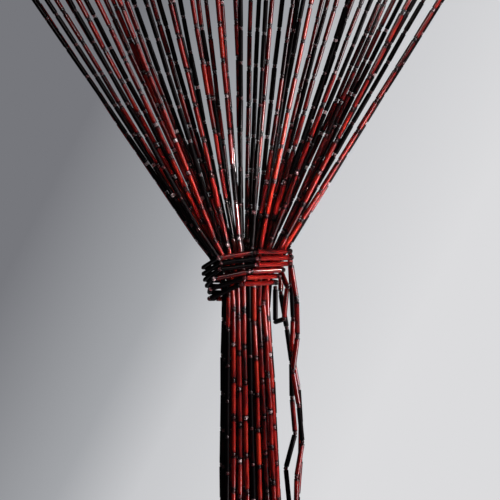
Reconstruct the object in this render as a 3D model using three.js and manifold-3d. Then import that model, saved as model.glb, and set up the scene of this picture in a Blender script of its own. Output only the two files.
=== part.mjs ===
// Bead curtain, drawn in at the waist and tied with its own kind of bead strand.
//
// 52 strands of slim lacquered bamboo tubes hang from a flat wooden header. They
// fan in to the waist, pass through a tie of three more strands wound twice round
// them, and hang below it as one loose bundle. Each strand is a square bar here, as
// wide as its beads: the single tubes and spacer beads are surface detail.
//
// Millimetres, +X right, +Y away from the front, +Z up.
// Origin: the middle of the header's top face, where the curtain is fixed.

import * as THREE from 'three';
import { mergeVertices } from 'three/addons/utils/BufferGeometryUtils.js';
import Module from 'manifold-3d';

const wasm = await Module();
wasm.setup();

// ---------------------------------------------------------------- dimensions

const HEADER = { length: 900, depth: 22, height: 14 };

const BEAD = { pitch: 40, perStrand: 49 };

const STRANDS = { count: 52, spacing: 17.3, side: 4.1, rootDepth: 6 };

// The strands lie in six layers from front to back. Neighbours in the row along the
// header never share a layer or lie in touching ones, so they can cross freely.
const LAYER_ORDER = [2, 4, 1, 3, 5, 0];
const LAST_LAYER = LAYER_ORDER.length - 1;

// Width and depth of the bundle, a row for each section: drop below the header's
// underside, X of its left and right strands, Y of its back layer (front is -Y).
const SECTIONS = [
  { drop: 591, left: -33.0, right: 62.0, halfDepth: 12.6 },
  { drop: 608, left: -17.5, right: 51.0, halfDepth: 12.9 },
  { drop: 622, left: -9.0, right: 44.0, halfDepth: 13.2 },
  { drop: 636, left: -5.5, right: 40.5, halfDepth: 13.6 },
  { drop: 656, left: -5.8, right: 41.5, halfDepth: 13.8 },
  { drop: 690, left: -7.3, right: 44.5, halfDepth: 14.2 },
  { drop: 744, left: -7.6, right: 48.0, halfDepth: 15.0 },
  { drop: 880, left: -8.0, right: 55.0, halfDepth: 17.0 },
  { drop: 1150, left: -10.0, right: 60.0, halfDepth: 19.0 },
  { drop: 1500, left: -13.0, right: 64.0, halfDepth: 21.0 },
  { drop: 2000, left: -16.0, right: 68.0, halfDepth: 23.0 },
];
const WAIST_DROP = SECTIONS[0].drop;

// Where each bar has a corner. The last one comes at the strand's own length.
const FAN_STATIONS = [0, 200, 400];
const BUNDLE_STATIONS = [591, 608, 622, 636, 656, 690, 744, 880, 1015, 1150, 1325, 1500, 1700];

// How unevenly the strands hang: side shift at the waist, which is gone at
// settledDrop, a bow along the fan, and a sway that grows from swayDrop down.
const UNEVEN = { waistShift: 6, fanBow: 8, settledDrop: 650, swayDrop: 700, swaySpan: 1300 };

// The strands part a little at the waist: those up to lastLeft go left, the rest right.
const PARTING = { lastLeft: 26, left: -0.8, right: 3 };
const SWAY = {
  x: { all: 7, own: 3, allWave: 190, ownWave: 150, byPlace: 2.2, byLayer: 0.5 },
  y: { all: 5, own: 3, allWave: 240, ownWave: 170, byPlace: 1.6, byLayer: -0.4 },
};
const SCATTER = { shift: 2507, bow: 2508, swayX: 5, phaseX: 6, swayY: 7, phaseY: 8 };

// The tie. Its plan is a rounded box round the bundle, with these half-sizes at
// each height. Its three strands make six rows, two turns of each strand.
const TIE = { side: 4.2, boxPower: 4, beadEnds: 11, strands: 3 };
const TIE_PLAN = [
  { z: -600, left: -29.0, right: 72.0, halfDepth: 26.0 },
  { z: -628, left: -30.0, right: 70.5, halfDepth: 26.0 },
  { z: -636, left: -30.0, right: 58.0, halfDepth: 26.0 },
  { z: -650, left: -27.5, right: 54.0, halfDepth: 26.0 },
  { z: -665, left: -25.0, right: 53.0, halfDepth: 25.6 },
  { z: -685, left: -23.0, right: 53.0, halfDepth: 25.0 },
];

// Height of the first row at its right and left corner, and the step to the next.
const TIE_ROWS = { right: -613.3, rightStep: 7.0, left: -632.5, leftStep: 6.9 };

// How far a row is down from its right height to its left one along a turn, which
// runs right corner, front, left corner, back. Behind, it rises to its next row.
const TURN_COURSE = [
  { turn: 0, down: 0 },
  { turn: 0.1, down: 0 },
  { turn: 0.26, down: 0.08 },
  { turn: 0.42, down: 0.95 },
  { turn: 0.6, down: 1 },
  { turn: 0.85, down: 0 },
  { turn: 1, down: 0 },
];

// The tie's strands. Each is wound from the turn where it leaves for its tail. A
// tail's points are the places of its spacer beads, one bead pitch apart.
const TIE_STRANDS = [
  {
    name: 'tie_strand_upper', row: 0, firstTurn: 0.09,
    tail: [
      { x: 67.8, y: 21, z: -615 },
      { x: 69.5, y: 12, z: -653 },
      { x: 71, y: -3, z: -689 },
      { x: 70, y: 3, z: -728 },
      { x: 77, y: 2, z: -767 },
      { x: 79.5, y: 1, z: -807 },
      { x: 79, y: 0, z: -847 },
      { x: 76, y: 2, z: -887 },
    ],
    tailBeads: 18,
  },
  {
    name: 'tie_strand_middle', row: 1, firstTurn: 0.06,
    tail: [
      { x: 58, y: 23, z: -621.5 },
      { x: 57.5, y: 17.5, z: -661 },
      { x: 64, y: 10, z: -700 },
      { x: 69.5, y: 12, z: -739 },
      { x: 70, y: 12, z: -779 },
      { x: 73.5, y: 11, z: -819 },
      { x: 63, y: 9, z: -858 },
      { x: 67, y: 10, z: -898 },
    ],
    tailBeads: 18,
  },
  {
    name: 'tie_strand_lower', row: 2, firstTurn: 0.07,
    tail: [
      { x: 74.5, y: -14, z: -668 },
      { x: 75.5, y: -11, z: -708 },
      { x: 70.5, y: -8, z: -747 },
      { x: 77, y: -9, z: -786 },
      { x: 81, y: -10, z: -826 },
      { x: 74.5, y: -9, z: -865 },
      { x: 74, y: -8, z: -905 },
    ],
    tailBeads: 18,
  },
];

// A short end of the tie hangs in a loop beside it.
const TIE_END = {
  name: 'tie_end_loop',
  points: [
    { x: 54.9, y: 17.2, z: -629 },
    { x: 64, y: -10.5, z: -653 },
    { x: 60.5, y: -13, z: -689 },
    { x: 51.5, y: 24, z: -694 },
    { x: 51.5, y: 27, z: -655 },
  ],
};

// ------------------------------------------------------------------ materials

// Header, strands and tie share one glossy red-brown lacquer.
const LACQUER = { color: 0x7a1410, roughness: 0.25, metalness: 0 };

// -------------------------------------------------------------------- helpers

const mix = (from, to, share) => from + (to - from) * share;

// A steady number from 0 to 1 for a strand and a purpose.
function scatter(strand, purpose) {
  const value = Math.sin(strand * 12.9898 + purpose * 78.233) * 43758.5453;
  return value - Math.floor(value);
}

// The values of a table at a place along one of its columns.
function tableAt(rows, column, place) {
  const rising = rows[1][column] > rows[0][column];
  let index = 0;
  while (index < rows.length - 2
    && (rising ? place > rows[index + 1][column] : place < rows[index + 1][column])) {
    index += 1;
  }
  const above = rows[index];
  const below = rows[index + 1];
  const span = below[column] - above[column];
  const share = THREE.MathUtils.clamp((place - above[column]) / span, 0, 1);
  const values = {};
  for (const key of Object.keys(above)) {
    values[key] = mix(above[key], below[key], share);
  }
  return values;
}

// A path of straight stretches, which an extrusion follows corner by corner.
class BarPath extends THREE.Curve {
  constructor(points) {
    super();
    this.points = points;
  }

  getPointAt(place, target = new THREE.Vector3()) {
    const scaled = place * (this.points.length - 1);
    const index = Math.min(Math.floor(scaled + 1e-9), this.points.length - 2);
    return target.lerpVectors(this.points[index], this.points[index + 1], scaled - index);
  }

  getTangentAt(place, target = new THREE.Vector3()) {
    const index = Math.round(place * (this.points.length - 1));
    const last = this.points.length - 1;
    const here = this.points[index];
    const before = index > 0 ? here.clone().sub(this.points[index - 1]).normalize() : null;
    const after = index < last ? this.points[index + 1].clone().sub(here).normalize() : null;
    target.set(0, 0, 0);
    if (before) {
      target.add(before);
    }
    if (after) {
      target.add(after);
    }
    return target.normalize();
  }
}

function squareBar(points, side) {
  const half = side / 2;
  const section = new THREE.Shape();
  section.moveTo(-half, -half);
  section.lineTo(half, -half);
  section.lineTo(half, half);
  section.lineTo(-half, half);
  section.closePath();
  const settings = { steps: points.length - 1, extrudePath: new BarPath(points), bevelEnabled: false };
  return new THREE.ExtrudeGeometry(section, settings);
}

function toSolid(geometry) {
  const bare = geometry.clone();
  bare.deleteAttribute('normal');
  bare.deleteAttribute('uv');
  const merged = mergeVertices(bare, 1e-4);
  return new wasm.Manifold(new wasm.Mesh({
    numProp: 3,
    vertProperties: new Float32Array(merged.attributes.position.array),
    triVerts: new Uint32Array(merged.index.array),
  }));
}

function toGeometry(solid) {
  const mesh = solid.getMesh();
  const geometry = new THREE.BufferGeometry();
  geometry.setAttribute('position', new THREE.BufferAttribute(new Float32Array(mesh.vertProperties), 3));
  geometry.setIndex(new THREE.BufferAttribute(new Uint32Array(mesh.triVerts), 1));
  geometry.computeVertexNormals();
  return geometry;
}

function lacqueredMesh(name, geometry) {
  const mesh = new THREE.Mesh(geometry, new THREE.MeshStandardMaterial(LACQUER));
  mesh.name = name;
  return mesh;
}

// ------------------------------------------------------------ hanging strands

const headerX = (strand) => (strand - (STRANDS.count - 1) / 2) * STRANDS.spacing;

// The sway of the loose bundle: all strands together, and a little of each one's own.
function sway(rule, strand, drop, along, layer, ownSize, ownPhase) {
  const grown = Math.max(0, drop - UNEVEN.swayDrop) / UNEVEN.swaySpan;
  const together = Math.sin(drop / rule.allWave + rule.byPlace * along + rule.byLayer * layer);
  const alone = Math.sin(drop / rule.ownWave + 2 * Math.PI * scatter(strand, ownPhase));
  return grown * (rule.all * together + rule.own * (scatter(strand, ownSize) - 0.5) * alone);
}

// Centre of a strand at a drop below the header's underside.
function strandPoint(strand, drop) {
  const along = strand / (STRANDS.count - 1);
  const layer = (2 * LAYER_ORDER[strand % LAYER_ORDER.length]) / LAST_LAYER - 1;
  const z = -HEADER.height - drop;
  if (drop < WAIST_DROP) {
    const waist = strandPoint(strand, WAIST_DROP);
    const share = drop / WAIST_DROP;
    const bow = UNEVEN.fanBow * (scatter(strand, SCATTER.bow) - 0.5) * Math.sin(Math.PI * share);
    return new THREE.Vector3(mix(headerX(strand), waist.x, share) + bow, waist.y * share, z);
  }
  const section = tableAt(SECTIONS, 'drop', drop);
  const settled = (drop - WAIST_DROP) / (UNEVEN.settledDrop - WAIST_DROP);
  const parted = strand <= PARTING.lastLeft ? PARTING.left : PARTING.right;
  const aside = parted + UNEVEN.waistShift * (scatter(strand, SCATTER.shift) - 0.5);
  const shift = aside * Math.max(0, 1 - settled);
  const x = mix(section.left, section.right, along) + shift
    + sway(SWAY.x, strand, drop, along, layer, SCATTER.swayX, SCATTER.phaseX);
  const y = layer * section.halfDepth
    + sway(SWAY.y, strand, drop, along, layer, SCATTER.swayY, SCATTER.phaseY);
  return new THREE.Vector3(x, y, z);
}

// Every strand has the same number of beads, so a slanting one ends higher up.
function strandPoints(strand) {
  const points = [...FAN_STATIONS, ...BUNDLE_STATIONS].map((drop) => strandPoint(strand, drop));
  let length = 0;
  for (let index = 1; index < points.length; index += 1) {
    length += points[index].distanceTo(points[index - 1]);
  }
  const lastDrop = BUNDLE_STATIONS.at(-1) + BEAD.pitch * BEAD.perStrand - length;
  points.push(strandPoint(strand, lastDrop));
  const root = points[0].clone();
  root.z += STRANDS.rootDepth;
  return [root, ...points];
}

function headerWithStrands() {
  const board = new THREE.BoxGeometry(HEADER.length, HEADER.depth, HEADER.height);
  board.translate(0, 0, -HEADER.height / 2);
  const bars = [];
  for (let strand = 0; strand < STRANDS.count; strand += 1) {
    bars.push(toSolid(squareBar(strandPoints(strand), STRANDS.side)));
  }
  return toGeometry(wasm.Manifold.union([toSolid(board), ...bars]));
}

// ------------------------------------------------------------------------ tie

const signedPower = (value, power) => Math.sign(value) * Math.abs(value) ** power;

// A point of a tie strand, some turns on from the right corner of its first row.
function tiePoint(firstRow, turn) {
  const whole = Math.floor(turn);
  const part = turn - whole;
  const row = firstRow + TIE.strands * whole;
  const ahead = part < 0.6 ? row : row + TIE.strands;
  const right = TIE_ROWS.right - TIE_ROWS.rightStep * ahead;
  const left = TIE_ROWS.left - TIE_ROWS.leftStep * row;
  const z = mix(right, left, tableAt(TURN_COURSE, 'turn', part).down);
  const plan = tableAt(TIE_PLAN, 'z', z);
  const angle = -2 * Math.PI * turn;
  const power = 2 / TIE.boxPower;
  const x = mix(plan.left, plan.right, 0.5)
    + ((plan.right - plan.left) / 2) * signedPower(Math.cos(angle), power);
  return new THREE.Vector3(x, plan.halfDepth * signedPower(Math.sin(angle), power), z);
}

// The wound part: straight beads, each end of which lies on the tie's plan.
function woundPoints(firstRow, firstTurn) {
  const points = [tiePoint(firstRow, firstTurn)];
  let turn = firstTurn;
  while (points.length < TIE.beadEnds) {
    let near = turn;
    let far = turn + 0.3;
    for (let halving = 0; halving < 30; halving += 1) {
      const middle = (near + far) / 2;
      if (tiePoint(firstRow, middle).distanceTo(points.at(-1)) < BEAD.pitch) {
        near = middle;
      } else {
        far = middle;
      }
    }
    turn = near;
    points.push(tiePoint(firstRow, turn));
  }
  return points;
}

// A tail hangs on straight down past its listed points.
function tailPoints(tail, beads) {
  const points = tail.map(({ x, y, z }) => new THREE.Vector3(x, y, z));
  const last = points.at(-1);
  const bottom = last.z - BEAD.pitch * (beads - points.length);
  return [...points, new THREE.Vector3(last.x, last.y, bottom)];
}

function tieStrand({ row, firstTurn, tail, tailBeads }) {
  const points = [...woundPoints(row, firstTurn).reverse(), ...tailPoints(tail, tailBeads)];
  return toGeometry(toSolid(squareBar(points, TIE.side)));
}

function tieEndLoop() {
  const points = TIE_END.points.map(({ x, y, z }) => new THREE.Vector3(x, y, z));
  return toGeometry(toSolid(squareBar(points, TIE.side)));
}

// ------------------------------------------------------------------- assembly

const curtain = new THREE.Group();
curtain.add(lacqueredMesh('header_and_strands', headerWithStrands()));
for (const strand of TIE_STRANDS) {
  curtain.add(lacqueredMesh(strand.name, tieStrand(strand)));
}
curtain.add(lacqueredMesh(TIE_END.name, tieEndLoop()));

export default curtain;
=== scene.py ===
# %% [markdown]
# # A tied bead curtain
#
# A curtain of bamboo bead strands hangs from a flat header. The strands fan in to
# the waist, where a tie of three more bead strands holds them, and hang below it as
# one bundle. This lesson dresses the imported model, whose strands are plain square
# bars, with every single bead: a lacquered tube, a small round spacer, and so on.
#
# The first cell loads the model.

# %% Load the imported model
import math
import bpy
import numpy as np
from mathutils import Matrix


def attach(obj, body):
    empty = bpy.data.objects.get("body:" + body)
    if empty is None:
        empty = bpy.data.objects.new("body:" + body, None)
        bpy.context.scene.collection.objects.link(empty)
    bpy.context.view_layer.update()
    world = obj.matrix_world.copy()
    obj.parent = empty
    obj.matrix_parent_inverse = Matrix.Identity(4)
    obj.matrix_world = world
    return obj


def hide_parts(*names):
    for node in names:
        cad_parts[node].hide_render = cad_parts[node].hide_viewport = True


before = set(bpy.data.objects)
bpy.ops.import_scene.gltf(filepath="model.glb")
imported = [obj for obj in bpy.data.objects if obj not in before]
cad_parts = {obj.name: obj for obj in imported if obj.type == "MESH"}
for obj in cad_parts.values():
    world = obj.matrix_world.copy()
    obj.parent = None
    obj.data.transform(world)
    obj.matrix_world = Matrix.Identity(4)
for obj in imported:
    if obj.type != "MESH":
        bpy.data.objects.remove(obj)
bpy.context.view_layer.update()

# %% [markdown]
# ## Real sizes
#
# Everything is in metres. A curtain of this kind is strung from bamboo tubes a little
# over 5 mm thick, cut to 36 mm, with a flat 4 mm spacer bead between each two. So one
# tube and one spacer take 40 mm of strand: that pitch sets all the rest.

# %% The driving sizes
MM = 0.001
HEADER = {"length": 0.900, "depth": 0.022, "height": 0.014}
STRANDS = {"count": 52, "spacing": 0.0173, "beads": 49}
PITCH = 0.040
TUBE = {"girth": 0.0053, "bore": 0.0020, "length": 0.0360}
SPACER = {"girth": 0.0046, "height": 0.0038}
THREAD_GIRTH = 0.0009
print("strands:", STRANDS["count"], "tubes on them:", STRANDS["count"] * STRANDS["beads"])

# %% [markdown]
# ## Where the strands hang
#
# The strands fall straight from the header to the waist, and below it they hang side
# by side in six layers. Neighbours along the header are never in touching layers, so
# they pass each other freely. A table gives the bundle's width and depth at each
# height. The strands part a little in the middle of the waist, and a few sines make
# the bundle sway, as a real one does.

# %% The bundle's sections, from the waist down
LAYER_ORDER = [2, 4, 1, 3, 5, 0]
SECTIONS = {
    "drop": [0.591, 0.608, 0.622, 0.636, 0.656, 0.690, 0.744, 0.880, 1.150, 1.500, 2.000],
    "left": [-0.033, -0.0175, -0.009, -0.0055, -0.0058, -0.0073, -0.0076, -0.008, -0.010, -0.013, -0.016],
    "right": [0.062, 0.051, 0.044, 0.0405, 0.0415, 0.0445, 0.048, 0.055, 0.060, 0.064, 0.068],
    "depth": [0.0126, 0.0129, 0.0132, 0.0136, 0.0138, 0.0142, 0.015, 0.017, 0.019, 0.021, 0.023],
}
WAIST = SECTIONS["drop"][0]
UNEVEN = {"waist_shift": 0.006, "fan_bow": 0.008, "settled": 0.650, "sway_from": 0.700, "sway_span": 1.300}
PARTING = {"last_left": 26, "left": -0.0008, "right": 0.0030}
SWAY_X = {"all": 0.007, "own": 0.003, "all_wave": 0.190, "own_wave": 0.150, "place": 2.2, "layer": 0.5}
SWAY_Y = {"all": 0.005, "own": 0.003, "all_wave": 0.240, "own_wave": 0.170, "place": 1.6, "layer": -0.4}
SCATTER = {"shift": 2507, "bow": 2508, "sway_x": 5, "phase_x": 6, "sway_y": 7, "phase_y": 8}


def scatter(strand, purpose):
    """A steady number from 0 to 1 for a strand and a purpose."""
    value = math.sin(strand * 12.9898 + purpose * 78.233) * 43758.5453
    return value - math.floor(value)


def section(column, drop):
    """One column of the bundle's table at each drop."""
    return np.interp(drop, SECTIONS["drop"], SECTIONS[column])


# %% The line that a strand follows
def sway(rule, strand, drop, along, layer, size, phase):
    """How far a strand swings at each drop: all strands together, and its own part."""
    grown = np.maximum(0, drop - UNEVEN["sway_from"]) / UNEVEN["sway_span"]
    together = np.sin(drop / rule["all_wave"] + rule["place"] * along + rule["layer"] * layer)
    alone = np.sin(drop / rule["own_wave"] + math.tau * scatter(strand, phase))
    own = rule["own"] * (scatter(strand, size) - 0.5)
    return grown * (rule["all"] * together + own * alone)


def bundle_points(strand, drop):
    """The strand's centre at drops from the waist down."""
    along = strand / (STRANDS["count"] - 1)
    layer = 2 * LAYER_ORDER[strand % len(LAYER_ORDER)] / (len(LAYER_ORDER) - 1) - 1
    settled = (drop - WAIST) / (UNEVEN["settled"] - WAIST)
    parted = PARTING["left" if strand <= PARTING["last_left"] else "right"]
    aside = parted + UNEVEN["waist_shift"] * (scatter(strand, SCATTER["shift"]) - 0.5)
    shift = aside * np.maximum(0, 1 - settled)
    left, right = section("left", drop), section("right", drop)
    x = left + (right - left) * along + shift
    x = x + sway(SWAY_X, strand, drop, along, layer, SCATTER["sway_x"], SCATTER["phase_x"])
    y = layer * section("depth", drop)
    y = y + sway(SWAY_Y, strand, drop, along, layer, SCATTER["sway_y"], SCATTER["phase_y"])
    return np.stack([x, y, -HEADER["height"] - drop], axis=1)


def fan_points(strand, drop):
    """The strand's centre at drops from the header to the waist."""
    waist = bundle_points(strand, np.array([WAIST]))[0]
    header_x = (strand - (STRANDS["count"] - 1) / 2) * STRANDS["spacing"]
    share = drop / WAIST
    bow = UNEVEN["fan_bow"] * (scatter(strand, SCATTER["bow"]) - 0.5) * np.sin(math.pi * share)
    x = header_x + (waist[0] - header_x) * share + bow
    return np.stack([x, waist[1] * share, -HEADER["height"] - drop], axis=1)


LINE_STEP = 0.002
LINE_END = 2.1


def strand_line(strand):
    """A fine line of points from the header to below the strand's end."""
    fan = np.arange(0, WAIST, LINE_STEP)
    bundle = np.arange(WAIST, LINE_END, LINE_STEP)
    return np.concatenate([fan_points(strand, fan), bundle_points(strand, bundle)])


middle_strand = strand_line(STRANDS["count"] // 2)
print("the middle strand's line goes from", middle_strand[0].round(3), "to", middle_strand[-1].round(3))

# %% [markdown]
# ## From a line to beads
#
# A bead tube is stiff, so a strand is a chain of straight stretches: each joint lies
# one pitch from the last, measured straight. The spacer sits on the joint. No two
# tubes are cut quite alike, so each pitch is a little long or short, and each joint is
# pushed a little to the side, which keeps the rows from looking machine made.

# %% A chain of stiff beads along a line
rng = np.random.default_rng(29)
CUT_SPREAD = 0.0006
KNOCK = 0.0005
FIRST_CUT = (0.004, 0.036)
# How many points of the fine line the next joint is looked for in: three pitches of it.
LOOK_AHEAD = 60


def chain(line, pitches):
    """Joints along a line, each one pitch, measured straight, from the one before."""
    joints = [line[0]]
    at = 0
    for pitch in pitches:
        window = line[at:at + LOOK_AHEAD]
        reach = np.linalg.norm(window - joints[-1], axis=1)
        step = int(np.argmax(reach >= pitch))
        share = (pitch - reach[step - 1]) / (reach[step] - reach[step - 1])
        joints.append(window[step - 1] + (window[step] - window[step - 1]) * share)
        at += step - 1
    return np.array(joints)


def strand_joints(strand):
    """A hanging strand's joints: a first tube cut short, then full ones."""
    pitches = rng.normal(PITCH, CUT_SPREAD, STRANDS["beads"])
    pitches[0] = rng.uniform(*FIRST_CUT) + SPACER["girth"]
    joints = chain(strand_line(strand), pitches)
    joints[1:-1, :2] += rng.uniform(-KNOCK, KNOCK, (len(joints) - 2, 2))
    return joints


hanging = [strand_joints(strand) for strand in range(STRANDS["count"])]
print("lowest joint:", min(joints[-1][2] for joints in hanging).round(4), "m")

# %% [markdown]
# ## The tie
#
# Three strands of the same beads run twice round the bundle, which makes six rows.
# Seen from above, their way round is a rounded box. Each row runs level over the right
# half of the front, falls to the left corner, and rises behind to where the next turn
# starts. The beads are stiff, so each one is a straight bar with both ends on that
# box. A search by halves finds the turn at which the next joint is one pitch away. A
# turn is counted from the right corner, by way of the front.

# %% The tie's way round the bundle
TIE_ROWS = {"right": -0.6133, "right_step": 0.0070, "left": -0.6325, "left_step": 0.0069, "strands": 3}
TURN_COURSE = {"turn": [0, 0.1, 0.26, 0.42, 0.6, 0.85, 1], "down": [0, 0, 0.08, 0.95, 1, 0, 0]}
# Past this part of a turn a row is on its way up to the next one.
LOWEST_TURN = 0.6
PLAN = {
    "height": [-0.685, -0.665, -0.650, -0.636, -0.628, -0.600],
    "left": [-0.023, -0.025, -0.0275, -0.030, -0.030, -0.029],
    "right": [0.053, 0.053, 0.054, 0.058, 0.0705, 0.072],
    "depth": [0.025, 0.0256, 0.026, 0.026, 0.026, 0.026],
}
# With a power of 2 the plan would be an ellipse: a higher one squares it.
BOX_POWER = 4
WOUND_JOINTS = 11
# No tube spans more than this part of a turn, and thirty halvings place a joint exactly.
LONGEST_SPAN = 0.3
HALVINGS = 30


def tie_point(first_row, turn):
    """A point of a tie strand, some turns on from the right corner of its first row."""
    whole = math.floor(turn)
    row = first_row + TIE_ROWS["strands"] * whole
    ahead = row if turn - whole < LOWEST_TURN else row + TIE_ROWS["strands"]
    high = TIE_ROWS["right"] - TIE_ROWS["right_step"] * ahead
    low = TIE_ROWS["left"] - TIE_ROWS["left_step"] * row
    z = high + (low - high) * np.interp(turn - whole, TURN_COURSE["turn"], TURN_COURSE["down"])
    left, right, depth = (np.interp(z, PLAN["height"], PLAN[side]) for side in ("left", "right", "depth"))
    cosine, sine = math.cos(-math.tau * turn), math.sin(-math.tau * turn)
    power = 2 / BOX_POWER
    x = (left + right) / 2 + (right - left) / 2 * math.copysign(abs(cosine) ** power, cosine)
    return np.array([x, depth * math.copysign(abs(sine) ** power, sine), z])


def wound_joints(first_row, first_turn):
    """The joints of the wound part, one pitch apart."""
    joints = [tie_point(first_row, first_turn)]
    turn = first_turn
    while len(joints) < WOUND_JOINTS:
        near, far = turn, turn + LONGEST_SPAN
        for _ in range(HALVINGS):
            middle = (near + far) / 2
            if np.linalg.norm(tie_point(first_row, middle) - joints[-1]) < PITCH:
                near = middle
            else:
                far = middle
        turn = near
        joints.append(tie_point(first_row, turn))
    return joints


# %% The tie's tails and its short looped end
TAIL_BEADS = 18
TIE_STRANDS = {
    "tie_strand_upper": {
        "row": 0, "turn": 0.09, "batches": "kkmrmkkkmrkrkrrkrmkrkrrkrmkrk",
        "tail": [(0.0678, 0.021, -0.615), (0.0695, 0.012, -0.653), (0.071, -0.003, -0.689),
                 (0.070, 0.003, -0.728), (0.077, 0.002, -0.767), (0.0795, 0.001, -0.807),
                 (0.079, 0.000, -0.847), (0.076, 0.002, -0.887)],
    },
    "tie_strand_middle": {
        "row": 1, "turn": 0.06, "batches": "kkkokkkkkrkrkkkrkkrkmrkkrkkrk",
        "tail": [(0.058, 0.023, -0.6215), (0.0575, 0.0175, -0.661), (0.064, 0.010, -0.700),
                 (0.0695, 0.012, -0.739), (0.070, 0.012, -0.779), (0.0735, 0.011, -0.819),
                 (0.063, 0.009, -0.858), (0.067, 0.010, -0.898)],
    },
    "tie_strand_lower": {
        "row": 2, "turn": 0.07, "batches": "kkkrkkkkkrmrmrkrrmkrrkrrmkrrk",
        "tail": [(0.0745, -0.014, -0.668), (0.0755, -0.011, -0.708), (0.0705, -0.008, -0.747),
                 (0.077, -0.009, -0.786), (0.081, -0.010, -0.826), (0.0745, -0.009, -0.865),
                 (0.074, -0.008, -0.905)],
    },
}
TIE_END = [(0.0549, 0.0172, -0.629), (0.064, -0.0105, -0.653), (0.0605, -0.013, -0.689),
           (0.0515, 0.024, -0.694), (0.0515, 0.027, -0.655)]


def tie_joints(rule):
    """A tie strand's joints, from its hidden end round the bundle and down its tail."""
    tail = [np.array(point) for point in rule["tail"]]
    while len(tail) <= TAIL_BEADS:
        tail.append(tail[-1] - np.array([0, 0, PITCH]))
    return np.array(wound_joints(rule["row"], rule["turn"])[::-1] + tail)


tie = {name: tie_joints(rule) for name, rule in TIE_STRANDS.items()}
tie["tie_end_loop"] = np.array(TIE_END)
print("joints on each part of the tie:", {name: len(joints) for name, joints in tie.items()})

# %% [markdown]
# ## One tube, modelled by hand
#
# A bamboo tube is a cylinder with a bore through it and slightly broken edges. It is
# small and there are thousands, so it gets twelve sides and only the faces that show:
# the edges are beveled, and each end is inset and pushed in to make the bore's mouth.
# It is modelled in millimetres, because operators work best at a handy size.

# %% Small helpers for edit mode
def start_edit(piece, test):
    """Opens a piece in edit mode with only the faces selected that pass the test."""
    bpy.ops.object.mode_set(mode="EDIT")
    bpy.ops.mesh.select_mode(type="FACE")
    bpy.ops.mesh.select_all(action="DESELECT")
    bpy.ops.object.mode_set(mode="OBJECT")
    for face in piece.data.polygons:
        face.select = bool(test(face))
    bpy.ops.object.mode_set(mode="EDIT")


def is_end(face):
    """True for the two flat faces at the ends of a bead that stands up."""
    return abs(face.normal.z) > 0.9


# %% The tube
TUBE_FORM = {"sides": 12, "broken_edge": 0.35, "edge_allowance": 0.45, "mouth_depth": 0.5}
# The broken edge has taken some of the wall, so the inset to the bore is that much less.
TUBE_RIM = (TUBE["girth"] - TUBE["bore"]) / 2 / MM - TUBE_FORM["edge_allowance"]
bpy.ops.object.select_all(action="DESELECT")
bpy.ops.mesh.primitive_cylinder_add(vertices=TUBE_FORM["sides"], radius=TUBE["girth"] / 2 / MM,
                                    depth=TUBE["length"] / MM)
tube_pattern = bpy.context.object
start_edit(tube_pattern, is_end)
bpy.ops.mesh.bevel(offset=TUBE_FORM["broken_edge"], segments=1, affect="EDGES")
bpy.ops.object.mode_set(mode="OBJECT")
start_edit(tube_pattern, is_end)
bpy.ops.mesh.inset(thickness=TUBE_RIM, depth=-TUBE_FORM["mouth_depth"])
bpy.ops.object.mode_set(mode="OBJECT")
print("tube faces:", len(tube_pattern.data.polygons))

# %% [markdown]
# ## One spacer, modelled by hand
#
# The spacer is a small turned wooden bead, a little wider than it is tall, with well
# rounded rims. It starts as a short cylinder, and its two rims are beveled in two
# steps, which is as round as such a small bead needs to be.

# %% The spacer
SPACER_FORM = {"sides": 10, "rounding": 0.9, "steps": 2}
bpy.ops.object.select_all(action="DESELECT")
bpy.ops.mesh.primitive_cylinder_add(vertices=SPACER_FORM["sides"], radius=SPACER["girth"] / 2 / MM,
                                    depth=SPACER["height"] / MM)
spacer_pattern = bpy.context.object
start_edit(spacer_pattern, is_end)
bpy.ops.mesh.bevel(offset=SPACER_FORM["rounding"], segments=SPACER_FORM["steps"], affect="EDGES")
bpy.ops.object.mode_set(mode="OBJECT")
print("spacer faces:", len(spacer_pattern.data.polygons))

# %% [markdown]
# ## Copying a bead along the strands
#
# Thousands of separate objects would be slow, so the copies are joined as they are
# made: one array of turned and moved corner points, and one mesh. Each copy carries
# three numbers to its material: where a point lies on its own bead, the bead's tone,
# and a seed, so that no two beads show the same grain.

# %% Where each copy of a bead goes
# No bead lies along this direction, so each bead's axis has a side square to both.
OFF_AXIS = [0.3, 1.0, 0.2]


def directions(starts, ends):
    """Unit directions from starts to ends, and two sides square to each of them."""
    axis = ends - starts
    axis = axis / np.linalg.norm(axis, axis=1, keepdims=True)
    side = np.cross(axis, np.tile(OFF_AXIS, (len(axis), 1)))
    side = side / np.linalg.norm(side, axis=1, keepdims=True)
    return axis, side, np.cross(axis, side)


def bead_points(pattern, starts, ends, girths):
    """Corner points of every copy, and the same points on the bead itself."""
    local = np.array([corner.co for corner in pattern.data.vertices])
    half = abs(local[:, 2]).max()
    axis, side, front = directions(starts, ends)
    length = np.linalg.norm(ends - starts, axis=1) / MM
    spin = rng.uniform(0, math.tau, len(starts))
    cosine, sine = np.cos(spin)[:, None], np.sin(spin)[:, None]
    across = (local[:, 0] * cosine - local[:, 1] * sine) * girths[:, None]
    through = (local[:, 0] * sine + local[:, 1] * cosine) * girths[:, None]
    along = local[:, 2] + np.sign(local[:, 2]) * (length[:, None] / 2 - half)
    middle = (starts + ends) / 2
    points = middle[:, None] + MM * (across[..., None] * side[:, None]
                                     + through[..., None] * front[:, None]
                                     + along[..., None] * axis[:, None])
    own_x, own_y = (np.tile(local[:, place], (len(starts), 1)) for place in (0, 1))
    return points, np.stack([own_x, own_y, along], axis=2)


# %% Copies of a bead, joined in one mesh
SMOOTH_ANGLE = math.radians(40)


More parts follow.
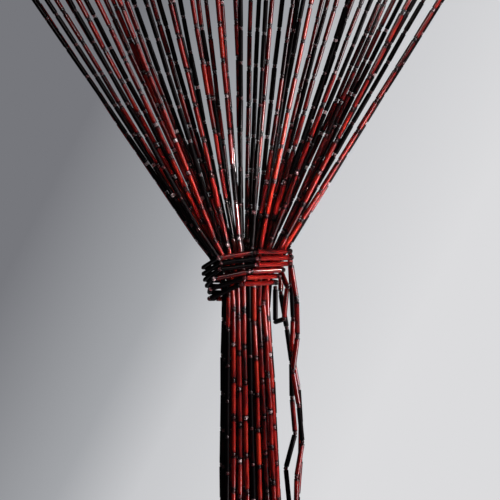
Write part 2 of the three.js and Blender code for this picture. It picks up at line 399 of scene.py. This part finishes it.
def joined_beads(name, pattern, starts, ends, girths, tones):
    """One mesh object with a copy of the pattern from each start to each end."""
    points, own = bead_points(pattern, starts, ends, girths)
    count, corners = points.shape[:2]
    loops = np.array([loop.vertex_index for loop in pattern.data.loops])
    loop_starts = np.array([face.loop_start for face in pattern.data.polygons])
    shift = np.arange(count)[:, None]
    mesh = bpy.data.meshes.new(name)
    mesh.vertices.add(count * corners)
    mesh.loops.add(count * len(loops))
    mesh.polygons.add(count * len(loop_starts))
    mesh.vertices.foreach_set("co", points.ravel())
    mesh.loops.foreach_set("vertex_index", (loops + shift * corners).ravel())
    mesh.polygons.foreach_set("loop_start", (loop_starts + shift * len(loops)).ravel())
    mesh.update(calc_edges=True)
    mesh.attributes.new("bead_place", "FLOAT_VECTOR", "POINT").data.foreach_set("vector", own.ravel())
    mesh.attributes.new("bead_tone", "FLOAT", "POINT").data.foreach_set("value", np.repeat(tones, corners))
    seeds = rng.uniform(0, 100, count)
    mesh.attributes.new("bead_seed", "FLOAT", "POINT").data.foreach_set("value", np.repeat(seeds, corners))
    piece = placed(name, mesh)
    bpy.ops.object.shade_smooth_by_angle(angle=SMOOTH_ANGLE)
    return piece


def placed(name, data):
    """Puts a mesh or curve in the scene as the only selected object."""
    piece = bpy.data.objects.new(name, data)
    bpy.context.scene.collection.objects.link(piece)
    bpy.ops.object.select_all(action="DESELECT")
    piece.select_set(True)
    bpy.context.view_layer.objects.active = piece
    return piece


# %% Tubes and spacers for a group of strands
CLEARANCE = 0.0001
HALF_SEAT = SPACER["height"] / 2 + CLEARANCE
GIRTH_SPREAD = 0.05
GIRTH_LIMITS = (0.9, 1.08)
SPACER_TILT = 0.07


def tube_piece(name, chains, tones, girth=1):
    """The tubes of some strands: one between each two joints."""
    starts = np.concatenate([joints[:-1] for joints in chains])
    ends = np.concatenate([joints[1:] for joints in chains])
    axis = directions(starts, ends)[0]
    girths = girth * np.clip(rng.normal(1, GIRTH_SPREAD, len(starts)), *GIRTH_LIMITS)
    return joined_beads(name, tube_pattern, starts + axis * HALF_SEAT, ends - axis * HALF_SEAT, girths, tones)


def spacer_piece(name, chains, tones):
    """The spacers of some strands: one on each joint, a little askew on its thread."""
    at = np.concatenate([joints[1:] for joints in chains])
    axis = np.concatenate([np.diff(joints, axis=0) for joints in chains])
    axis = axis / np.linalg.norm(axis, axis=1, keepdims=True) + rng.normal(0, SPACER_TILT, axis.shape)
    axis = axis / np.linalg.norm(axis, axis=1, keepdims=True) * SPACER["height"] / 2
    girths = rng.normal(1, GIRTH_SPREAD, len(at))
    return joined_beads(name, spacer_pattern, at - axis, at + axis, girths, tones)


def thread_piece(name, chains):
    """The threads of some strands, each through all its joints and a little past the last."""
    curve = bpy.data.curves.new(name, "CURVE")
    curve.dimensions = "3D"
    curve.bevel_depth = THREAD_GIRTH / 2
    curve.bevel_resolution = 1
    curve.use_fill_caps = True
    for joints in chains:
        line = np.vstack([joints, joints[-1] - [0, 0, SPACER["height"]]])
        spline = curve.splines.new("POLY")
        spline.points.add(len(line) - 1)
        spline.points.foreach_set("co", np.hstack([line, np.ones((len(line), 1))]).ravel())
    placed(name, curve)
    bpy.ops.object.convert(target="MESH")
    return bpy.context.object


# %% [markdown]
# ## The tone of each bead
#
# The tubes are dyed by hand in batches: some come out near black, some maroon, some red
# and a few orange red. A strand is strung from one batch and keeps near one tone, with
# a stray tube here and there. Tone is a number from 0, near black, to 1, orange red.
# The letters give each strand's batch, from left to right along the header. Some
# near-black letters stand where the strands lie in shade, such as at the bundle's left
# edge, so the black there is partly painted shade and partly dye. The tie's strands are
# strung from all batches, so they have a letter for each tube.

# %% Tones for strands and tubes
BATCH_TONES = {"k": 0.03, "m": 0.45, "r": 0.65, "o": 0.82}
# Near-black letters partly stand where the curtain lies in shade: partly painted shade, partly dye.
BATCH_AND_SHADE_ORDER = "krkrmkrkrmrrmkkmkrkkrkmrmmkmkkrkmkkomkmkkmkmmmkrkkrk"
TONE_SPREAD = 0.08
STRAY_SHARE = 0.04


def tube_tones(batches, beads):
    """A tone for each tube: its batch's, a part of its own, and a few strays."""
    letters = list(BATCH_TONES)
    base = np.repeat([BATCH_TONES[letter] for letter in batches], beads)
    other = np.array([BATCH_TONES[letter] for letter in rng.choice(letters, len(base))])
    base = np.where(rng.uniform(size=len(base)) < STRAY_SHARE, other, base)
    return np.clip(rng.normal(base, TONE_SPREAD), 0, 1)


print("strands of each batch:", {letter: BATCH_AND_SHADE_ORDER.count(letter) for letter in BATCH_TONES})

# %% [markdown]
# ## The hanging strands
#
# A piece with all the tubes would be too heavy to handle, so the curtain is made in
# three groups, left to right. Each group has its tubes, its spacers and its threads.

# %% Make the three groups
GROUPS = {"left": range(0, 18), "middle": range(18, 35), "right": range(35, STRANDS["count"])}
tubes, spacers, threads = [], [], []
for place, members in GROUPS.items():
    chains = [hanging[strand] for strand in members]
    beads = STRANDS["beads"]
    tones = tube_tones([BATCH_AND_SHADE_ORDER[strand] for strand in members], beads)
    tubes.append(tube_piece(f"{place}_strand_tubes", chains, tones))
    # Random spacer tones; the highest ones take the spacer finish's painted glint.
    spacers.append(spacer_piece(f"{place}_strand_spacers", chains, rng.uniform(0, 1, len(members) * beads)))
    threads.append(thread_piece(f"{place}_strand_threads", chains))
for piece in tubes + spacers + threads:
    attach(piece, "root")
    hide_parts("header_and_strands")
counts = [sum(len(face.vertices) - 2 for face in piece.data.polygons) for piece in tubes]
print("triangles in the largest tube piece:", max(counts))

# %% Make the tie in the same way, from slightly stouter tubes
TIE_GIRTH = 1.07
TIE_END_BATCHES = "rrkk"
for name, joints in tie.items():
    beads = len(joints) - 1
    letters = TIE_STRANDS[name]["batches"] if name in TIE_STRANDS else TIE_END_BATCHES
    made = [tube_piece(f"{name}_tubes", [joints], tube_tones(letters[:beads], 1), TIE_GIRTH),
            spacer_piece(f"{name}_spacers", [joints], rng.uniform(0, 1, beads)),
            thread_piece(f"{name}_thread", [joints])]
    for piece, pieces in zip(made, (tubes, spacers, threads)):
        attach(piece, "root")
        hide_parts(name)
        pieces.append(piece)
print("pieces of beads and thread:", len(tubes + spacers + threads))

# %% [markdown]
# ## The header
#
# The header is a flat batten of softwood, planed and lacquered like the beads. A cube
# scaled to its size would have knife edges, which no planed wood has, so a bevel
# modifier rounds them and is then applied.

# %% The batten
ROUNDING = {"width": 0.0018, "steps": 3}
bpy.ops.object.select_all(action="DESELECT")
bpy.ops.mesh.primitive_cube_add(size=1, location=(0, 0, -HEADER["height"] / 2),
                                scale=(HEADER["length"], HEADER["depth"], HEADER["height"]))
header = bpy.context.object
header.name = "header_batten"
bpy.ops.object.transform_apply(location=True, rotation=True, scale=True)
rounding = header.modifiers.new("rounding", "BEVEL")
rounding.width = ROUNDING["width"]
rounding.segments = ROUNDING["steps"]
bpy.ops.object.modifier_apply(modifier=rounding.name)
bpy.ops.object.shade_smooth_by_angle(angle=SMOOTH_ANGLE)
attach(header, "root")
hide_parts("header_and_strands")
print("header faces:", len(header.data.polygons))

# %% The patterns have done their work
for pattern in (tube_pattern, spacer_pattern):
    bpy.data.objects.remove(pattern)

# %% [markdown]
# ## Finishes
#
# Colours are written as sRGB hex values, as a paint chart gives them, and turned to
# linear light by one function. One small function adds a node with its settings, its
# socket values and its links.

# %% Colour and node helpers
def linear(code):
    """A linear colour from an sRGB hex value."""
    parts = [int(code[at:at + 2], 16) / 255 for at in (1, 3, 5)]
    return [part / 12.92 if part <= 0.04045 else ((part + 0.055) / 1.055) ** 2.4 for part in parts] + [1]


def add_node(tree, kind, settings=None, values=None, links=None):
    """One node with its settings, the values on its sockets and what feeds them."""
    node = tree.nodes.new(kind)
    for name, value in (settings or {}).items():
        setattr(node, name, value)
    for socket, value in (values or {}).items():
        node.inputs[socket].default_value = value
    for socket, source in (links or {}).items():
        tree.links.new(source, node.inputs[socket])
    return node


def new_finish(name, roughness, ior, coat, coat_roughness):
    """A material with one principled shader, and its node tree."""
    finish = bpy.data.materials.new(name)
    finish.use_nodes = True
    tree = finish.node_tree
    shader = tree.nodes["Principled BSDF"]
    shader.inputs["Roughness"].default_value = roughness
    shader.inputs["IOR"].default_value = ior
    shader.inputs["Coat Weight"].default_value = coat
    shader.inputs["Coat Roughness"].default_value = coat_roughness
    return finish, tree, shader


def set_ramp(node, stops):
    """Gives a colour ramp its stops: place and hex colour."""
    ramp = node.color_ramp
    while len(ramp.elements) < len(stops):
        ramp.elements.new(1)
    for element, (place, code) in zip(ramp.elements, stops):
        element.position = place
        element.color = linear(code)


# %% [markdown]
# ### Dyed and lacquered bamboo
#
# Bamboo has straight fibres, a few tenths of a millimetre apart, and takes dye in
# streaks. The lacquer over it is clear and glossy. So the colour is a ramp from near
# black to orange red, read by the bead's tone, a fine streak and a broad cloud. Cut
# ends drink more dye and come out darker.

# %% The bamboo finish
def bamboo_finish():
    finish, tree, shader = new_finish("dyed_lacquered_bamboo", 0.5, 1.5, 1.0, 0.1)
    shader.inputs["Specular IOR Level"].default_value = 0.03
    place = add_node(tree, "ShaderNodeAttribute", {"attribute_name": "bead_place"})
    tone = add_node(tree, "ShaderNodeAttribute", {"attribute_name": "bead_tone"})
    seed = add_node(tree, "ShaderNodeAttribute", {"attribute_name": "bead_seed"})
    # The real fibres are too fine to show, so they are drawn 0.7 mm apart and some
    # 15 mm long.
    fibre_scale = add_node(tree, "ShaderNodeMapping", {}, {"Scale": (1.4, 1.4, 0.07)},
                           {"Vector": place.outputs["Vector"]})
    fibre = add_node(tree, "ShaderNodeTexNoise", {"noise_dimensions": "4D"}, {"Scale": 1, "Detail": 3},
                     {"Vector": fibre_scale.outputs["Vector"], "W": seed.outputs["Fac"]})
    # The dye clouds are some 5 mm across and 20 mm long.
    cloud_scale = add_node(tree, "ShaderNodeMapping", {}, {"Scale": (0.2, 0.2, 0.05)},
                           {"Vector": place.outputs["Vector"]})
    cloud = add_node(tree, "ShaderNodeTexNoise", {"noise_dimensions": "4D"}, {"Scale": 1, "Detail": 2},
                     {"Vector": cloud_scale.outputs["Vector"], "W": seed.outputs["Fac"]})
    split = add_node(tree, "ShaderNodeSeparateXYZ", {}, {}, {"Vector": place.outputs["Vector"]})
    reach = add_node(tree, "ShaderNodeMath", {"operation": "ABSOLUTE"}, {}, {0: split.outputs["Z"]})
    # The dark of the cut ends fades out over 3 mm.
    half = TUBE["length"] / 2 / MM
    ends = add_node(tree, "ShaderNodeMapRange", {},
                    {"From Min": half - 3, "From Max": half, "To Min": 0, "To Max": -0.35},
                    {"Value": reach.outputs[0]})
    streak = add_node(tree, "ShaderNodeMapRange", {},
                      {"From Min": 0.3, "From Max": 0.7, "To Min": -0.2, "To Max": 0.2},
                      {"Value": fibre.outputs["Fac"]})
    shade = add_node(tree, "ShaderNodeMapRange", {},
                     {"From Min": 0.3, "From Max": 0.7, "To Min": -0.2, "To Max": 0.16},
                     {"Value": cloud.outputs["Fac"]})
    first = add_node(tree, "ShaderNodeMath", {"operation": "ADD"}, {},
                     {0: tone.outputs["Fac"], 1: ends.outputs["Result"]})
    second = add_node(tree, "ShaderNodeMath", {"operation": "ADD"}, {},
                      {0: first.outputs[0], 1: streak.outputs["Result"]})
    third = add_node(tree, "ShaderNodeMath", {"operation": "ADD"}, {},
                     {0: second.outputs[0], 1: shade.outputs["Result"]})
    colour = add_node(tree, "ShaderNodeValToRGB", {}, {}, {"Fac": third.outputs[0]})
    set_ramp(colour, [(0.2, "#040203"), (0.42, "#360507"), (0.65, "#890c0b"), (1.0, "#c22e18")])
    # The darkest dye leaves the lacquer duller.
    gloss = add_node(tree, "ShaderNodeMapRange", {},
                     {"From Min": 0.1, "From Max": 0.6, "To Min": 0.1, "To Max": 1},
                     {"Value": tone.outputs["Fac"]})
    tree.links.new(gloss.outputs["Result"], shader.inputs["Coat Weight"])
    bump = add_node(tree, "ShaderNodeBump", {}, {"Strength": 0.25, "Distance": 0.00005},
                    {"Height": fibre.outputs["Fac"]})
    tree.links.new(colour.outputs["Color"], shader.inputs["Base Color"])
    tree.links.new(bump.outputs["Normal"], shader.inputs["Normal"])
    return finish


# %% [markdown]
# ### Lacquered spacer beads
#
# The spacers are turned from wood, dipped in a dark maroon lacquer and tumbled. The
# lacquer is mottled, and the pale top of the colour ramp, pink grey to near white, is a
# painted glint: a few beads are coloured as if they caught the lamp.

# %% The spacer finish
def spacer_finish():
    finish, tree, shader = new_finish("maroon_lacquered_wood", 0.5, 1.5, 0.5, 0.12)
    shader.inputs["Specular IOR Level"].default_value = 0.1
    tone = add_node(tree, "ShaderNodeAttribute", {"attribute_name": "bead_tone"})
    place = add_node(tree, "ShaderNodeAttribute", {"attribute_name": "bead_place"})
    seed = add_node(tree, "ShaderNodeAttribute", {"attribute_name": "bead_seed"})
    mottle = add_node(tree, "ShaderNodeTexNoise", {"noise_dimensions": "4D"}, {"Scale": 0.9, "Detail": 2},
                      {"Vector": place.outputs["Vector"], "W": seed.outputs["Fac"]})
    spread = add_node(tree, "ShaderNodeMapRange", {}, {"To Min": -0.3, "To Max": 0.3},
                      {"Value": mottle.outputs["Fac"]})
    mixed = add_node(tree, "ShaderNodeMath", {"operation": "ADD"}, {},
                     {0: tone.outputs["Fac"], 1: spread.outputs["Result"]})
    colour = add_node(tree, "ShaderNodeValToRGB", {}, {}, {"Fac": mixed.outputs[0]})
    # The two palest stops are a painted glint on the beads of highest tone.
    set_ramp(colour, [(0.0, "#150507"), (0.55, "#3a0c0e"), (0.84, "#50161a"), (0.93, "#84565c"),
                      (1.0, "#e0d2d6")])
    tree.links.new(colour.outputs["Color"], shader.inputs["Base Color"])
    return finish


# %% [markdown]
# ### Thread and header
#
# The thread is twisted polyester, dark and matt. The header is stained pine under a
# satin lacquer, with growth rings that run along the batten.

# %% The thread finish and the wood finish
def thread_finish():
    finish, tree, shader = new_finish("twisted_polyester_thread", 0.8, 1.5, 0, 0.03)
    at = add_node(tree, "ShaderNodeTexCoord")
    # A twist every 0.8 mm along the thread, which hangs nearly upright.
    twist = add_node(tree, "ShaderNodeTexWave", {"bands_direction": "DIAGONAL"},
                     {"Scale": 400, "Distortion": 0.5}, {"Vector": at.outputs["Object"]})
    colour = add_node(tree, "ShaderNodeValToRGB", {}, {}, {"Fac": twist.outputs["Fac"]})
    set_ramp(colour, [(0.0, "#100507"), (1.0, "#2c1012")])
    tree.links.new(colour.outputs["Color"], shader.inputs["Base Color"])
    return finish


def pine_finish():
    finish, tree, shader = new_finish("stained_pine", 0.35, 1.5, 0.3, 0.15)
    at = add_node(tree, "ShaderNodeTexCoord")
    # Rings about 4 mm apart, drawn out along the batten.
    stretched = add_node(tree, "ShaderNodeMapping", {}, {"Scale": (1.2, 60, 60)},
                         {"Vector": at.outputs["Object"]})
    rings = add_node(tree, "ShaderNodeTexNoise", {}, {"Scale": 4, "Detail": 5, "Distortion": 0.6},
                     {"Vector": stretched.outputs["Vector"]})
    colour = add_node(tree, "ShaderNodeValToRGB", {}, {}, {"Fac": rings.outputs["Fac"]})
    set_ramp(colour, [(0.3, "#240a08"), (0.5, "#43120d"), (0.7, "#5c1c12")])
    bump = add_node(tree, "ShaderNodeBump", {}, {"Strength": 0.2, "Distance": 0.0001},
                    {"Height": rings.outputs["Fac"]})
    tree.links.new(colour.outputs["Color"], shader.inputs["Base Color"])
    tree.links.new(bump.outputs["Normal"], shader.inputs["Normal"])
    return finish


# %% Put the finishes on
FINISHES = [
    (tubes, bamboo_finish(), "lacquered_bamboo"),
    (spacers, spacer_finish(), "lacquered_spacer"),
    (threads, thread_finish(), "bead_thread"),
    ([header], pine_finish(), "header_wood"),
]
for pieces, finish, slot in FINISHES:
    for piece in pieces:
        piece.data.materials.clear()
        piece.data.materials.append(finish)
print("finishes:", [finish.name for _, finish, _ in FINISHES])

# %% [markdown]
# ## Floor, light and camera
#
# The curtain hangs just clear of a plain pale floor. A large soft lamp stands to the
# right, so each tube shows a red side and a dark side. Such a lamp would also lay a
# broad grey sheen over the lacquer, so it lights only the matt colour, and smaller
# lamps, seen only by the gloss, give each tube its long glint: an upper one for the
# strands that lean left, a lower one for those that lean right. A lamp with a narrow
# beam picks out the strands just above the tie. The camera is level with the tie and
# looks straight on.

# %% The floor
FLOOR = {"drop": 2.03, "radius": 2.6}
bpy.ops.object.select_all(action="DESELECT")
bpy.ops.mesh.primitive_circle_add(vertices=96, radius=FLOOR["radius"], fill_type="NGON",
                                  location=(0, 0, -FLOOR["drop"]))
floor = bpy.context.object
floor.name = "floor"
bpy.ops.object.transform_apply(location=True, rotation=True, scale=True)
floor_finish, _, floor_shader = new_finish("matt_floor_paint", 0.9, 1.45, 0, 0.03)
floor_shader.inputs["Base Color"].default_value = linear("#bcbcbe")
floor.data.materials.append(floor_finish)
print("floor at", -FLOOR["drop"], "m")

# %% The lamps
# The camera and the lamps face one point, at the tie.
AIM = np.array([0.0227, 0, -0.6122])


def soft_lamp(name, turn, rise, distance, size, power, colour, lights="both"):
    """An area lamp that faces the aim: turn is from the front to the right, in degrees."""
    turn, rise = math.radians(turn), math.radians(rise)
    toward = np.array([math.sin(turn) * math.cos(rise), -math.cos(turn) * math.cos(rise), math.sin(rise)])
    bpy.ops.object.light_add(type="AREA", location=AIM + toward * distance)
    lamp = bpy.context.object
    lamp.visible_glossy, lamp.visible_diffuse = lights != "matt", lights != "gloss"
    lamp.name = name
    lamp.data.shape = "RECTANGLE"
    lamp.data.size, lamp.data.size_y = size
    lamp.data.energy = power
    lamp.data.color = linear(colour)[:3]
    lamp.rotation_euler = (math.pi / 2 - rise, 0, turn)
    return lamp


LAMPS = {
    "key_lamp": {"turn": 69, "rise": -8, "distance": 2.2, "size": (1.2, 1.2), "power": 61,
                 "colour": "#fff2ee", "lights": "matt"},
    "glint_lamp": {"turn": 64, "rise": 5.2, "distance": 2.2, "size": (0.6, 0.6), "power": 44,
                   "colour": "#fff0f4", "lights": "gloss"},
    "sheen_lamp": {"turn": 66, "rise": -10, "distance": 2.2, "size": (0.4, 2.4), "power": 2,
                   "colour": "#fff0f4", "lights": "gloss"},
    "upper_glint_lamp": {"turn": 64, "rise": 29, "distance": 2.2, "size": (0.5, 0.9), "power": 17,
                         "colour": "#fff0f4", "lights": "gloss"},
    "lower_glint_lamp": {"turn": 64, "rise": -21, "distance": 2.2, "size": (0.5, 0.5), "power": 16,
                         "colour": "#fff0f4", "lights": "gloss"},
    "front_lamp": {"turn": 0, "rise": 28, "distance": 2.4, "size": (1.2, 0.2), "power": 14,
                   "colour": "#fff0f0", "lights": "gloss"},
    "back_lamp": {"turn": 190, "rise": 35, "distance": 3.0, "size": (1.6, 1.6), "power": 130,
                  "colour": "#f4f6ff", "lights": "matt"},
    "waist_lamp": {"turn": 40, "rise": 8, "distance": 1.5, "size": (0.3, 0.1), "power": 0.15,
                   "colour": "#fff2f0"},
}
lamps = {name: soft_lamp(name, **rule) for name, rule in LAMPS.items()}
# The narrow beam meets the strands a little above the tie.
BEAM = {"spread": 8, "raised": 0.04}
lamps["waist_lamp"].data.spread = math.radians(BEAM["spread"])
lamps["waist_lamp"].location.z += BEAM["raised"]
print("lamps:", list(lamps))

# %% The pale surround
world = bpy.data.worlds.new("pale_surround")
bpy.context.scene.world = world
world.use_nodes = True
sky = world.node_tree
sky.nodes.clear()
# Seen directly it is a pale wall with painted shade, darker to the upper left as if the light fell off that
# way, and its light is dim.
looking = add_node(sky, "ShaderNodeTexCoord")
slope = add_node(sky, "ShaderNodeVectorMath", {"operation": "DOT_PRODUCT"}, {1: (1.0, 0.0, -0.5)},
                 {0: looking.outputs["Generated"]})
painted_wall_shade = add_node(sky, "ShaderNodeMapRange", {}, {"From Min": -0.16, "From Max": 0.14},
                {"Value": slope.outputs["Value"]})
wall = add_node(sky, "ShaderNodeValToRGB", {}, {}, {"Fac": painted_wall_shade.outputs["Result"]})
set_ramp(wall, [(0.0, "#76777c"), (0.37, "#a3a5a9"), (0.55, "#c8c9cc"), (1.0, "#dcdcde")])
seen = add_node(sky, "ShaderNodeBackground", {}, {"Strength": 1.0}, {"Color": wall.outputs["Color"]})
cast = add_node(sky, "ShaderNodeBackground", {}, {"Color": linear("#e8ecf4"), "Strength": 0.03})
path = add_node(sky, "ShaderNodeLightPath")
both = add_node(sky, "ShaderNodeMixShader", {}, {},
                {0: path.outputs["Is Camera Ray"], 1: cast.outputs[0], 2: seen.outputs[0]})
add_node(sky, "ShaderNodeOutputWorld", {}, {}, {"Surface": both.outputs[0]})
print("surround:", [node.name for node in sky.nodes])

# %% The camera
VIEW = {"width": 0.560, "distance": 1.6, "sensor": 36.0}
bpy.ops.object.camera_add(location=(AIM[0], -VIEW["distance"], AIM[2]), rotation=(math.pi / 2, 0, 0))
camera = bpy.context.object
camera.data.sensor_width = VIEW["sensor"]
camera.data.lens = VIEW["sensor"] * VIEW["distance"] / VIEW["width"]
bpy.context.scene.camera = camera
bpy.context.scene.view_settings.view_transform = "Standard"
print("lens:", round(camera.data.lens, 1), "mm")
